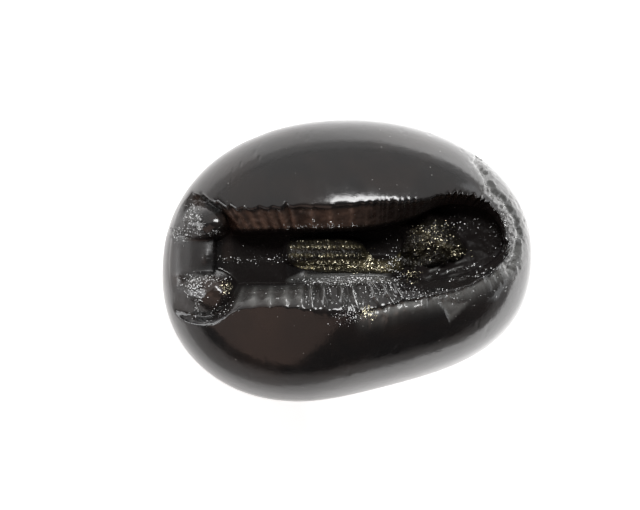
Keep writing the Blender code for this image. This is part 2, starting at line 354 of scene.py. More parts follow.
# The mound: a dome with a few lumps, less a round pit
def moundHeight(plan):
    x = (plan[..., 0] - mound["centre"][0]) / mound["halfSize"][0]
    y = (plan[..., 1] - mound["centre"][1]) / mound["halfSize"][1]
    x = x + mound["raggedness"] * planNoise(plan, mound["lumpSize"], 58)
    y = y + mound["raggedness"] * planNoise(plan, mound["lumpSize"], 59)
    inside = np.clip(1.0 - (x**2 + y**2) ** mound["planPower"], 0.0, 1.0)
    lumps = mound["lumpHeight"] * planNoise(plan, mound["lumpSize"], 57)
    rise = mound["crest"] - hollow["floorHeight"]
    height = hollow["floorHeight"] + rise * inside ** mound["domePower"] + lumps * inside
    fromPit = np.hypot(plan[..., 0] - mound["pitCentre"][0], plan[..., 1] - mound["pitCentre"][1])
    return height - mound["pitDepth"] * np.exp(-((fromPit / mound["pitRadius"]) ** 2))


# The ledge below the whorl: a wedge that starts and ends in a point
def ledgeHeight(plan):
    x, y = plan[..., 0], plan[..., 1]
    wedge = smoothStep(*ledge["leftFrom"], x) * smoothStep(*ledge["rightFrom"], x)
    rise = ledge["crest"] - hollow["floorHeight"]
    across = np.abs(y - ledge["y"]) / ledge["halfWidth"]
    return hollow["floorHeight"] + rise * wedge * np.exp(-(across**4))


# The bare floor, lower at the right end
def bedHeight(plan):
    return hollow["floorHeight"] - hollow["chamberDrop"] * smoothStep(*hollow["chamberFrom"], plan[..., 0])


# The slope's low ridges, 1 on a crest: thin lines that rise to the right, broken into dashes
def striations(plan):
    x, y = plan[..., 0], plan[..., 1]
    right, rise = striation["direction"]
    along, across = right * x + rise * y, right * y - rise * x
    ridges = np.abs(np.cos(np.pi * across / striation["pitch"])) ** 6
    dashes = smoothStep(-0.05, 0.25, planNoise(np.stack([0.45 * along, across], -1), 1.1, 46))
    zone = smoothStep(*striation["leftFrom"], x) * smoothStep(*striation["rightFrom"], x)
    zone = zone * smoothStep(*striation["lowFrom"], y) * smoothStep(*striation["highFrom"], y)
    return ridges * dashes * zone


# The floor with all that stands on it, and the slope at the right
def floorHeight(plan):
    x, y = plan[..., 0], plan[..., 1]
    slope = smoothStep(*hollow["slopeFrom"], x) * smoothStep(2.6, -3.0, y - 0.2 * (x - 14.0))
    height = bedHeight(plan) + hollow["slopeRise"] * slope
    height = height + striation["height"] * striations(plan)
    for part in (whorlHeight(plan), moundHeight(plan), ledgeHeight(plan)):
        height = smoothMax(height, part, 0.5)
    return smoothMax(height, lobesHeight(plan), 0.4)


# Mouth, foot of wall, middle line and outline as loops that match step by step. Each lip is divided
# evenly by length; the middle line is the mean of the two feet, so the floor closes along it.
def mouthLoops(steps):
    rows = hollow["rows"]
    fine = np.linspace(0.0, len(rows), 60 * len(rows) + 1)
    lips = throughRows([row[:2] for row in rows], fine)
    length = np.concatenate([[0.0], np.cumsum(np.hypot(*np.diff(lips, axis=0).T))])
    middle = len(fine) // 2
    half = np.linspace(0.0, 1.0, steps // 2 + 1)
    upper = np.interp(half * length[middle], length, fine)
    lower = np.interp(length[middle] + half * (length[-1] - length[middle]), length, fine)
    places = np.concatenate([upper[:-1], lower[:-1]])
    mouth = throughRows([row[:2] for row in rows], places)
    foot = throughRows([row[2:4] for row in rows], places)
    paired = foot[(-np.arange(steps)) % steps]
    angles = [row[4] for row in rows] + [rows[0][4] + 360]
    angle = np.radians(np.interp(places, np.arange(len(rows) + 1), angles))
    radius = outlineRadius(angle)
    outline = np.stack([radius * np.cos(angle), radius * np.sin(angle)], -1)
    lengthHere = np.interp(places, fine, length)
    return mouth, foot, 0.5 * (foot + paired), outline, lengthHere, lengthHere[steps // 2]


# How close a point of the wall is to the nearest rib, 1 on its crest: each rib is a straight line that
# leans, and its cross-section is a bell
def ribBell(wall, plan, middleY, halfWidth):
    lean = np.interp(plan[:, 0], *np.array(wall["lean"]).T)
    across = plan[:, 0] - lean * (middleY - plan[:, 1])
    nearest = np.abs(across[:, None] - np.array(wall["ribs"])[None]).min(1)
    return np.exp(-((nearest / halfWidth) ** 2))


# The lip: its bites at each x, above and below, the scallops, teeth and nicks in it, and how far its
# lower right stretch is moved inward
lipWear = {
    "upper": ((-30, -26, -20, -8, -5, 11, 14, 24, 28), (0.0, 0.6, 0.5, 0.3, 0.1, 0.2, 0.7, 0.6, 0.4)),
    "lower": ((-30, -22, -10, 4, 10, 26, 28), (0.1, 0.3, 0.25, 0.3, 0.9, 0.9, 0.5)),
    "biteDepth": 0.55,
    "scallopPitch": 2.3,
    "scallopDepth": 1.1,
    "scallopsFrom": ((-28.0, -25.5), (-8.0, -11.0)),
    "toothPitch": 1.15,
    "toothDepth": 1.1,
    "teeth": ((0.0, 3.0, 11.0, 13.0, 15.0, 18.0, 23.5, 26.0), (0.0, 0.35, 0.4, 0.15, 0.2, 1.0, 1.0, 0.0)),
    "nickHalfWidth": 0.6,
    "nicksFrom": (10.0, 8.0),
    "narrower": 0.8,
    "narrowerFrom": (16.0, 25.0),
}


# Bites out of the lip, outward in plan: a quick noise along it, wider scallops at the upper left, small
# pointed teeth at the upper right, and a nick at the end of each lower rib
def lipBites(mouth, foot, lengthHere, isUpper):
    line = np.stack([lengthHere, 0 * lengthHere, 0 * lengthHere], -1)
    quick = np.abs(softNoise(line, 0.9, 21)) + 0.5 * np.abs(softNoise(line, 0.4, 22))
    x = mouth[:, 0]
    upper, lower = np.interp(x, *lipWear["upper"]), np.interp(x, *lipWear["lower"])
    bites = lipWear["biteDepth"] * quick * np.where(isUpper, upper, lower)
    left, right = lipWear["scallopsFrom"]
    place = (lengthHere + 0.9 * softNoise(line, 2.6, 25)) / lipWear["scallopPitch"]
    scallops = lipWear["scallopDepth"] * np.abs(2.0 * (place % 1.0) - 1.0) ** 1.5
    scallops = scallops * (0.7 + 0.6 * softNoise(line, 2.0, 26)) * smoothStep(*right, x)
    scallops = scallops * smoothStep(*left, x)
    place = (lengthHere + 0.9 * softNoise(line, 1.6, 23)) / lipWear["toothPitch"]
    teeth = lipWear["toothDepth"] * np.abs(2.0 * (place % 1.0) - 1.0)
    teeth = teeth * (0.7 + 0.9 * softNoise(line, 1.3, 24)) * np.interp(x, *lipWear["teeth"])
    middleY = 0.5 * (mouth + foot)[:, 1]
    nicks = walls["lower"]["scallop"] * ribBell(walls["lower"], mouth, middleY, lipWear["nickHalfWidth"])
    nicks = nicks * smoothStep(*lipWear["nicksFrom"], x)
    upperNarrower = np.interp(x, *np.array(walls["narrower"]).T)
    lowerNarrower = lipWear["narrower"] * smoothStep(*lipWear["narrowerFrom"], x)
    narrower = np.where(isUpper, upperNarrower, lowerNarrower)
    return bites + np.where(isUpper, scallops + teeth, nicks) - narrower


# Outward normals of the ring grid: the cross product of its two step directions
def gridNormals(points):
    stepRound = np.roll(points, -1, 1) - np.roll(points, 1, 1)
    stepAlong = np.gradient(points, axis=0)
    normal = np.cross(stepRound, stepAlong)
    return normal / np.maximum(np.linalg.norm(normal, axis=-1, keepdims=True), 1e-9)


# Distance in plan from each point to a line through a few corners: the least over its straight parts
def distanceToLine(plan, corners):
    nearest = np.full(plan.shape[:-1], 1e9)
    for start, end in zip(corners[:-1], corners[1:]):
        start, run = np.array(start), np.array(end) - np.array(start)
        t = np.clip(((plan - start) @ run) / (run @ run), 0.0, 1.0)
        nearest = np.minimum(nearest, np.linalg.norm(plan - start - t[..., None] * run, axis=-1))
    return nearest


# Wear on the outer skin, beside the mouth and at the right end
wear = {
    "fissure": (
        (22.0, 17.6), (23.4, 14.6), (24.8, 11.8), (27.2, 9.6),
        (28.9, 7.0), (29.3, 3.5), (29.0, 0.5), (27.6, -1.8),
    ),
    "fissureDepth": 0.55,
    "fissureWidth": 0.42,
    "rim": ((3.2, -9.3), (7.0, -8.9), (12.5, -7.6)),
    "rimHeight": 0.55,
    "rimWidth": 0.65,
    "chip": ((15.0, -6.6), (17.3, -10.4), (21.0, -6.9)),
    "chipDepth": 0.55,
    "bevelWidth": 2.0,
    "bevelDepth": 0.55,
    "undulation": 0.06,
    "shrink": 0.05,
    "pitDepth": 0.09,
    "pitsFromLip": (2.0, 5.0),
    "upperHeights": (15.0, 20.0),
    "bandWidth": 1.4,
    "bandDepth": 0.6,
    "bevelFrom": (0.5, 4.0),
    "bevelBelow": 2.5,
    "wallLumps": (0.08, 0.14),
    "floorLumps": 0.06,
    "lobeLumps": (0.2, 0.04),
    "chamberLumps": 0.2,
}


# The pebble as a grid of rings from the worn belly round the girth to the mouth, down the ribbed walls
# and over the floor to the middle line; also how deep each point is, 0 on the skin to 2 in the middle,
# and how high a rib stands there
def stoneGrid():
    p = pebble
    steps = p["stepsRound"]
    mouth, foot, middle, outline, lengthHere, halfLength = mouthLoops(steps)
    isUpper = lengthHere < halfLength
    inward = foot - mouth
    inward = inward / np.linalg.norm(inward, axis=1, keepdims=True)
    edge = mouth - inward * lipBites(mouth, foot, lengthHere, isUpper)[:, None]
    rings, inHollow, onRib = [], [], []

    def add(plan, height, depth, rib=0.0):
        rings.append(np.column_stack([plan, np.broadcast_to(height, len(plan))]))
        inHollow.append(depth)
        onRib.append(np.broadcast_to(rib, len(plan)))

    for ring in range(p["bellyRings"] + 1):
        add(outline * p["wornFlatShare"] * ring / p["bellyRings"], 0.0, 0.0)
    firstTurn = np.arcsin(p["wornFlatShare"])
    for turn in np.linspace(firstTurn, np.pi / 2, p["backRings"] + 1)[1:]:
        add(outline * np.sin(turn), bellyHeight(np.sin(turn)), 0.0)
    for turn in np.linspace(1.0, 0.0, p["frontRings"] + 1)[1:]:
        plan = edge + (outline - edge) * np.sin(turn * np.pi / 2) ** p["frontSpread"]
        add(plan, skinHeight(plan), 0.0)
    lip = skinHeight(edge)
    atEnd = smoothStep(*walls["endFrom"], mouth[:, 0])
    midWallY = 0.5 * (edge + foot)[:, 1]
    uneven = 1.0 + walls["unevenness"] * planNoise(mouth, 2.6, 12)
    uneven = uneven * np.interp(mouth[:, 0], *walls["strength"])
    for share in np.linspace(0.0, 1.0, p["wallRings"] + 1)[1:]:
        plan = edge + (foot - edge) * share
        sunk, rib = np.zeros(steps), np.zeros(steps)
        for name, side in (("upper", isUpper), ("lower", ~isUpper)):
            wall = walls[name]
            bell = ribBell(wall, plan, midWallY, np.interp(share, walls["ribShares"], wall["halfWidth"]))
            sunk = np.where(side, np.interp(share, wall["wayIn"], wall["sunk"]), sunk)
            rib = np.where(side, bell * np.interp(share, walls["ribShares"], wall["height"]), rib)
        sunk = sunk + (np.interp(share, walls["lower"]["wayIn"], walls["endSunk"]) - sunk) * atEnd
        rib = rib * uneven * (1.0 - atEnd)
        shortDrops = smoothStep(*walls["shortShare"], share) * smoothStep(*walls["shortFrom"], mouth[:, 0])
        rib = rib * (1.0 - walls["shortBy"] * shortDrops * ~isUpper)
        height = lip * (1.0 - sunk) + bedHeight(plan) * sunk + rib
        blend = walls["footBlend"] * smoothStep(*walls["footShare"], share)
        blend = blend * (1.0 - 0.95 * spillWindow(plan)) + 0.001
        add(plan, smoothMax(height, floorHeight(plan), blend), share, rib)
    for share in np.linspace(0.0, 1.0, p["floorRings"] + 1)[1:]:
        plan = foot + (middle - foot) * share
        add(plan, floorHeight(plan), 1.0 + share)
    depth = np.array(inHollow)[:, None] * np.ones(steps)
    lipRing = p["bellyRings"] + p["backRings"] + p["frontRings"]
    return np.array(rings), depth, lipRing, isUpper, np.array(onRib)


# Rounds the lip: rings near it are averaged with their neighbours a few times
def roundLip(points, lipRing, passes):
    for _ in range(passes):
        near = slice(lipRing - 4, lipRing + 5)
        before, here, after = points[lipRing - 5:lipRing + 4], points[near], points[lipRing - 3:lipRing + 6]
        points[near] = 0.25 * before + 0.5 * here + 0.25 * after


# 0 in the middle of the saddle, 1 beside it
def offSaddle(plan):
    return smoothStep(2.4, 4.2, np.abs(plan[..., 1] - 0.8))


# Wear: low swells and pits on the skin, the fissure and the chip at the right, a rough bevel along the
# lower right lip with a raised rim beside it, and lumps on the walls. Each point moves along its normal.
# Gives back how freshly broken the stone is, 0 to 1
def wearStone(points, depth, lipRing):
    rings = np.arange(len(points))[:, None]
    plan = points[..., :2]
    onSkin = (rings < lipRing) * (points[..., 2] > 0.4)
    up = onSkin * smoothStep(*wear["upperHeights"], points[..., 2])
    normal = gridNormals(points)
    move = wear["undulation"] * softNoise(points, 7.0, 31) * onSkin - wear["shrink"] * onSkin
    pits = smoothStep(0.62, 0.85, softNoise(points, 0.8, 32))
    pits = pits * smoothStep(-0.1, 0.5, softNoise(points, 5.0, 33))
    fromLip = np.linalg.norm(plan - points[lipRing][None, :, :2], axis=-1)
    move = move - wear["pitDepth"] * pits * up * smoothStep(*wear["pitsFromLip"], fromLip)
    wander = np.stack([planNoise(plan, 1.3, 34), planNoise(plan, 1.3, 35)], -1)
    fromFissure = distanceToLine(plan + 0.5 * wander, wear["fissure"])
    fissure = np.exp(-((fromFissure / wear["fissureWidth"]) ** 2)) * up
    band = np.exp(-((fromFissure / wear["bandWidth"]) ** 2)) * up
    move = move - wear["fissureDepth"] * fissure
    move = move - wear["bandDepth"] * band * np.abs(roughNoise(points, 0.8, 36))
    alongRight = smoothStep(*wear["bevelFrom"], plan[..., 0]) * (plan[..., 1] < wear["bevelBelow"])
    bevel = up * alongRight * np.exp(-((fromLip / wear["bevelWidth"]) ** 2))
    move = move - bevel * (wear["bevelDepth"] + 0.5 * roughNoise(points, 0.9, 37))
    fromRim = distanceToLine(plan + 0.3 * wander, wear["rim"])
    rim = np.exp(-((fromRim / wear["rimWidth"]) ** 2)) * up
    move = move + rim * wear["rimHeight"] * (1.0 + 0.4 * roughNoise(points, 0.8, 40))
    corners = [np.array(corner) for corner in wear["chip"]]
    inside = np.full(plan.shape[:-1], 9.0)
    for start, end in zip(corners, corners[1:] + corners[:1]):
        run = (end - start) / np.linalg.norm(end - start)
        inside = np.minimum(inside, (plan[..., 1] - start[1]) * run[0] - (plan[..., 0] - start[0]) * run[1])
    chip = smoothStep(-0.1, 0.5, inside + 0.35 * planNoise(plan, 1.2, 38)) * up
    move = move - wear["chipDepth"] * chip * (0.75 + 0.25 * np.sin(3.0 * inside))
    onWall = (rings >= lipRing) * (depth < 1.0) * smoothStep(0.0, 0.08, depth) * smoothStep(1.0, 0.85, depth)
    onWall = onWall * np.maximum(smoothStep(-22.5, -20.0, plan[..., 0]), 0.35 * offSaddle(plan))
    isLower = plan[..., 1] < 1.0
    move = move + onWall * np.where(isLower, *wear["wallLumps"]) * roughNoise(points, 0.9, 39)
    points += normal * move[..., None]
    return np.clip(0.8 * chip + 1.2 * bevel + 0.6 * band, 0.0, 1.0)


# Lumps on floor and lobes as heights over the plan, the same on both sides of the middle line
def lumpFloor(points, lipRing):
    plan = points[lipRing + 1:, :, :2]
    overLobes = smoothStep(-19.0, -21.5, plan[..., 0])
    lump = wear["floorLumps"] * planNoise(plan, 1.1, 43) * (1.0 - overLobes)
    coarse, fine = wear["lobeLumps"]
    ofLobes = coarse * planNoise(plan, 1.8, 44) + fine * planNoise(plan, 0.6, 41, 2)
    lump = lump + overLobes * offSaddle(plan) * ofLobes
    inChamber = wear["chamberLumps"] * smoothStep(9.0, 12.0, plan[..., 0])
    points[lipRing + 1:, :, 2] += lump + inChamber * planNoise(plan, 1.0, 45)


weldDistance = 0.0000002   # m


# Puts a grid of points into a mesh: each face joins four neighbours, the columns close round, and
# points that coincide are welded, which closes the poles and the floor's middle line
def surfacePiece(name, points, attributes, material):
    rows, columns = points.shape[:2]
    start = np.arange(rows - 1)[:, None] * columns
    here = np.arange(columns)[None, :]
    beside = (here + 1) % columns
    corners = start + here, start + beside, start + columns + beside, start + columns + here
    quads = np.stack(corners, -1).reshape(-1, 4)
    mesh = bpy.data.meshes.new(name)
    mesh.vertices.add(rows * columns)
    mesh.vertices.foreach_set("co", (points * mm).astype(np.float32).ravel())
    mesh.loops.add(quads.size)
    mesh.loops.foreach_set("vertex_index", quads.astype(np.int32).ravel())
    mesh.polygons.add(len(quads))
    mesh.polygons.foreach_set("loop_start", np.arange(0, quads.size, 4, dtype=np.int32))
    mesh.update(calc_edges=True)
    for attributeName, values in attributes.items():
        attribute = mesh.attributes.new(attributeName, "FLOAT", "POINT")
        attribute.data.foreach_set("value", np.asarray(values, np.float32).ravel())
    shape = bmesh.new()
    shape.from_mesh(mesh)
    bmesh.ops.remove_doubles(shape, verts=shape.verts, dist=weldDistance)
    shape.to_mesh(mesh)
    shape.free()
    mesh.validate()
    mesh.shade_smooth()
    mesh.materials.append(material)
    piece = bpy.data.objects.new(name, mesh)
    bpy.context.scene.collection.objects.link(piece)
    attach(piece, "root")
    return piece


# Small crystals as one mesh: cubes, stretched a little, spun at random, with one face turned roughly up
# and a little toward the key lamp, half sunk at their places
def crystalPiece(name, places, sizes, rng, material):
    template = np.array([(x, y, z) for x in (-1, 1) for y in (-1, 1) for z in (-1, 1)], float)
    faces = np.array([(0, 1, 3, 2), (4, 6, 7, 5), (0, 4, 5, 1), (2, 3, 7, 6), (0, 2, 6, 4), (1, 5, 7, 3)])
    count = len(places)
    toKey = (0.25 * grains["leanToKey"], grains["leanToKey"], 1.0)
    upward = rng.normal(size=(count, 3)) * grains["scatter"] + toKey
    upward = upward / np.linalg.norm(upward, axis=1, keepdims=True)
    spin = rng.uniform(0.0, 2.0 * np.pi, count)
    side = np.cross(upward, np.stack([np.cos(spin), np.sin(spin), 0.0 * spin], -1))
    side = side / np.linalg.norm(side, axis=1, keepdims=True)
    turn = np.stack([side, np.cross(upward, side), upward], -1)
    stretch = sizes[:, None, None] * rng.uniform(0.7, 1.3, (count, 1, 3))
    corners = np.einsum("nij,nkj->nki", turn, template[None] * stretch) + places[:, None]
    allFaces = (faces[None] + (np.arange(count) * len(template))[:, None, None]).reshape(-1, 4)
    mesh = bpy.data.meshes.new(name)
    mesh.from_pydata((corners * mm).reshape(-1, 3).tolist(), [], allFaces.tolist())
    mesh.update()
    mesh.materials.append(material)
    piece = bpy.data.objects.new(name, mesh)
    bpy.context.scene.collection.objects.link(piece)
    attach(piece, "root")
    return piece


# Adds a node, sets its plain inputs and links the others. An input is given by name, or i and its number
def addNode(tree, kind, settings=None, **inputs):
    node = tree.nodes.new(kind)
    for key, value in (settings or {}).items():
        setattr(node, key, value)
    for key, value in inputs.items():
        isNumber = key[0] == "i" and key[1:].isdigit()
        socket = node.inputs[int(key[1:]) if isNumber else key]
        if isinstance(value, bpy.types.NodeSocket):
            tree.links.new(value, socket)
        else:
            socket.default_value = value
    return node


def newMaterial(name):
    material = bpy.data.materials.new(name)
    material.use_nodes = True
    return material, material.node_tree, material.node_tree.nodes["Principled BSDF"]


# A straight change of range: from (low, high) to (newLow, newHigh), clamped
def mapRange(tree, value, low, high, newLow, newHigh):
    return addNode(tree, "ShaderNodeMapRange", i0=value, i1=low, i2=high, i3=newLow, i4=newHigh).outputs[0]


def mixColour(tree, factor, first, second):
    node = addNode(tree, "ShaderNodeMix", {"data_type": "RGBA"}, i0=factor, i6=first, i7=second)
    return node.outputs[2]


def multiply(tree, first, second):
    return addNode(tree, "ShaderNodeMath", {"operation": "MULTIPLY"}, i0=first, i1=second).outputs[0]


# One value times a factor, plus another
def multiplyAdd(tree, value, factor, added):
    node = addNode(tree, "ShaderNodeMath", {"operation": "MULTIPLY_ADD"}, i0=value, i1=factor, i2=added)
    return node.outputs[0]


stoneFinish = {
    "black": (0.0105, 0.0100, 0.0100, 1),
    "warmBlack": (0.020, 0.015, 0.013, 1),
    # a painted warm reflection on the upper wall, darker between its ribs as painted shade; also the lobes'
    # brown tint
    "brownAndWarmReflectionColour": (0.120, 0.076, 0.057, 1),
    # flat black for painted shade in the depth
    "shadedDeepBlack": (0.0120, 0.0100, 0.0096, 1),
    # pale grey of fresh chips, also used for painted highlights on the lower ribs and striations and a
    # painted sheen on the lower wall
    "chipsAndSheenGrey": (0.13, 0.13, 0.125, 1),
    "speck": (0.30, 0.30, 0.29, 1),
    "polish": (0.09, 0.20),
}


# Black oiled stone: near black with warm clouds; on the upper wall a painted warm reflection as brown colour,
# darker between its ribs as painted shade, and a brown tint on the lobes; flat black and dull in the depth as
# painted shade;
# paler where freshly chipped, with painted highlights on the lower ribs and striations and a painted sheen
# over the lower wall; with tiny grey specks, a varying polish, fine grain and thin scratches
def blackStone():
    material, tree, shader = newMaterial("blackStone")
    place = addNode(tree, "ShaderNodeTexCoord").outputs["Object"]
    brownAndWarmReflection, deepShade, chipsAndSheen, inside, dull = (
        addNode(tree, "ShaderNodeAttribute", {"attribute_name": name}).outputs["Fac"]
        for name in ("brownAndWarmReflection", "deepShade", "chipsAndSheen", "inside", "dull")
    )
    cloud = addNode(tree, "ShaderNodeTexNoise", Vector=place, Scale=110.0, Detail=4.0).outputs["Fac"]
    grain = addNode(tree, "ShaderNodeTexNoise", Vector=place, Scale=1900.0, Detail=3.0).outputs["Fac"]
    polishCloud = addNode(tree, "ShaderNodeTexNoise", Vector=place, Scale=420.0, Detail=5.0).outputs["Fac"]
    warm = mapRange(tree, cloud, 0.42, 0.7, 0.0, 0.8)
    colour = mixColour(tree, warm, stoneFinish["black"], stoneFinish["warmBlack"])
    # Brown: on the upper wall a painted warm reflection, darker between the ribs as painted shade; on the
    # lobes a brown tint
    patchy = multiply(tree, brownAndWarmReflection, mapRange(tree, polishCloud, 0.3, 0.6, 0.5, 1.0))
    colour = mixColour(tree, patchy, colour, stoneFinish["brownAndWarmReflectionColour"])
    # Painted shade: flat black over the floor and chamber, and little specular there below
    colour = mixColour(tree, deepShade, colour, stoneFinish["shadedDeepBlack"])
    # Paler on fresh chips, with painted highlights and a painted sheen on the lower ribs, the lower wall and
    # the striations
    colour = mixColour(tree, chipsAndSheen, colour, stoneFinish["chipsAndSheenGrey"])
    cells = addNode(tree, "ShaderNodeTexVoronoi", Vector=place, Scale=700.0)
    isNear = mapRange(tree, cells.outputs["Distance"], 0.04, 0.08, 1.0, 0.0)
    pick = addNode(tree, "ShaderNodeSeparateColor", Color=cells.outputs["Color"]).outputs[0]
    isSpeck = multiply(tree, isNear, mapRange(tree, pick, 0.66, 0.72, 0.0, 1.0))
    colour = mixColour(tree, isSpeck, colour, stoneFinish["speck"])
    tree.links.new(colour, shader.inputs["Base Color"])
    low, high = stoneFinish["polish"]
    rough = mapRange(tree, polishCloud, 0.3, 0.7, low, high)
    for mask, more in ((deepShade, 0.25), (chipsAndSheen, 0.10), (dull, 0.26)):
        rough = multiplyAdd(tree, mask, more, rough)
    tree.links.new(rough, shader.inputs["Roughness"])
    # Painted shade: little specular in the depth
    tree.links.new(mapRange(tree, deepShade, 0.0, 1.0, 0.5, 0.05), shader.inputs["Specular IOR Level"])
    scratchPlace = addNode(
        tree, "ShaderNodeMapping", Vector=place, Rotation=(0.0, 0.0, 0.35), Scale=(60.0, 5200.0, 900.0)
    ).outputs[0]
    scratch = addNode(tree, "ShaderNodeTexNoise", Vector=scratchPlace, Scale=1.0, Detail=1.0).outputs["Fac"]
    scratch = mapRange(tree, scratch, 0.70, 0.80, 0.0, -1.0)
    relief = multiplyAdd(tree, scratch, 0.5, grain)
    fineStrength = mapRange(tree, inside, 0.0, 1.0, 0.18, 0.34)
    fine = addNode(tree, "ShaderNodeBump", Strength=fineStrength, Distance=0.00006, Height=relief).outputs[0]
    wavyStrength = mapRange(tree, inside, 0.0, 1.0, 0.2, 0.4)
    wavy = addNode(
        tree, "ShaderNodeBump", Strength=wavyStrength, Distance=0.0002, Height=polishCloud, Normal=fine
    ).outputs[0]
    tree.links.new(wavy, shader.inputs["Normal"])
    return material


pyriteFinish = {
    "tarnish": (0.082, 0.068, 0.035, 1),
    "gold": (0.30, 0.26, 0.15, 1),
    "dark": (0.014, 0.012, 0.009, 1),
    "roughness": 0.32,
}


# Crust of fine pyrite: dark between the grains and brassy on them, by small cells, with faceted relief
def pyriteCrust():
    material, tree, shader = newMaterial("pyriteCrust")
    place = addNode(tree, "ShaderNodeTexCoord").outputs["Object"]
    richness = addNode(tree, "ShaderNodeAttribute", {"attribute_name": "rich"}).outputs["Fac"]
    cells = addNode(tree, "ShaderNodeTexVoronoi", Vector=place, Scale=3300.0)
    pick = addNode(tree, "ShaderNodeSeparateColor", Color=cells.outputs["Color"]).outputs[0]
    cloud = addNode(tree, "ShaderNodeTexNoise", Vector=place, Scale=900.0, Detail=4.0).outputs["Fac"]
    shine = multiply(tree, mapRange(tree, pick, 0.45, 0.95, 0.0, 1.0), richness)
    coated = mapRange(tree, richness, 0.03, 0.5, 0.0, 1.0)
    coated = multiply(tree, coated, mapRange(tree, cloud, 0.35, 0.65, 0.2, 1.0))
    colour = mixColour(tree, coated, pyriteFinish["dark"], pyriteFinish["tarnish"])
    colour = mixColour(tree, shine, colour, pyriteFinish["gold"])
    tree.links.new(colour, shader.inputs["Base Color"])
    tree.links.new(mapRange(tree, shine, 0.0, 0.6, 0.25, 0.95), shader.inputs["Metallic"])
    shader.inputs["Roughness"].default_value = pyriteFinish["roughness"]
    height = cells.outputs["Distance"]
    bump = addNode(tree, "ShaderNodeBump", Strength=0.9, Distance=0.00016, Height=height).outputs[0]
    tree.links.new(bump, shader.inputs["Normal"])
    return material


grainFinish = {
    "dullPyrite": (0.12, 0.106, 0.062, 1),
    "brightPyrite": (0.40, 0.37, 0.28, 1),
    "darkStone": (0.012, 0.011, 0.010, 1),
    "greyStone": (0.06, 0.055, 0.05, 1),
}


# Loose pyrite grains: brassy metal whose shade drifts from grain to grain
def pyriteGrain():
    material, tree, shader = newMaterial("pyriteGrain")
    place = addNode(tree, "ShaderNodeTexCoord").outputs["Object"]
    drift = addNode(tree, "ShaderNodeTexNoise", Vector=place, Scale=1400.0, Detail=2.0).outputs["Fac"]
    drift = mapRange(tree, drift, 0.3, 0.7, 0.0, 1.0)
    colour = mixColour(tree, drift, grainFinish["dullPyrite"], grainFinish["brightPyrite"])
    tree.links.new(colour, shader.inputs["Base Color"])
    shader.inputs["Metallic"].default_value = 1.0
    shader.inputs["Roughness"].default_value = 0.24
    return material


# Dark glassy grains of the stone itself: near black with a slight drift and a bright gloss
def darkGrain():
    material, tree, shader = newMaterial("darkGrain")
    place = addNode(tree, "ShaderNodeTexCoord").outputs["Object"]
    drift = addNode(tree, "ShaderNodeTexNoise", Vector=place, Scale=800.0, Detail=2.0).outputs["Fac"]
    drift = mapRange(tree, drift, 0.3, 0.7, 0.0, 1.0)
    colour = mixColour(tree, drift, grainFinish["darkStone"], grainFinish["greyStone"])
    tree.links.new(colour, shader.inputs["Base Color"])
    shader.inputs["Roughness"].default_value = 0.12
    shader.inputs["Specular IOR Level"].default_value = 1.0
    return material


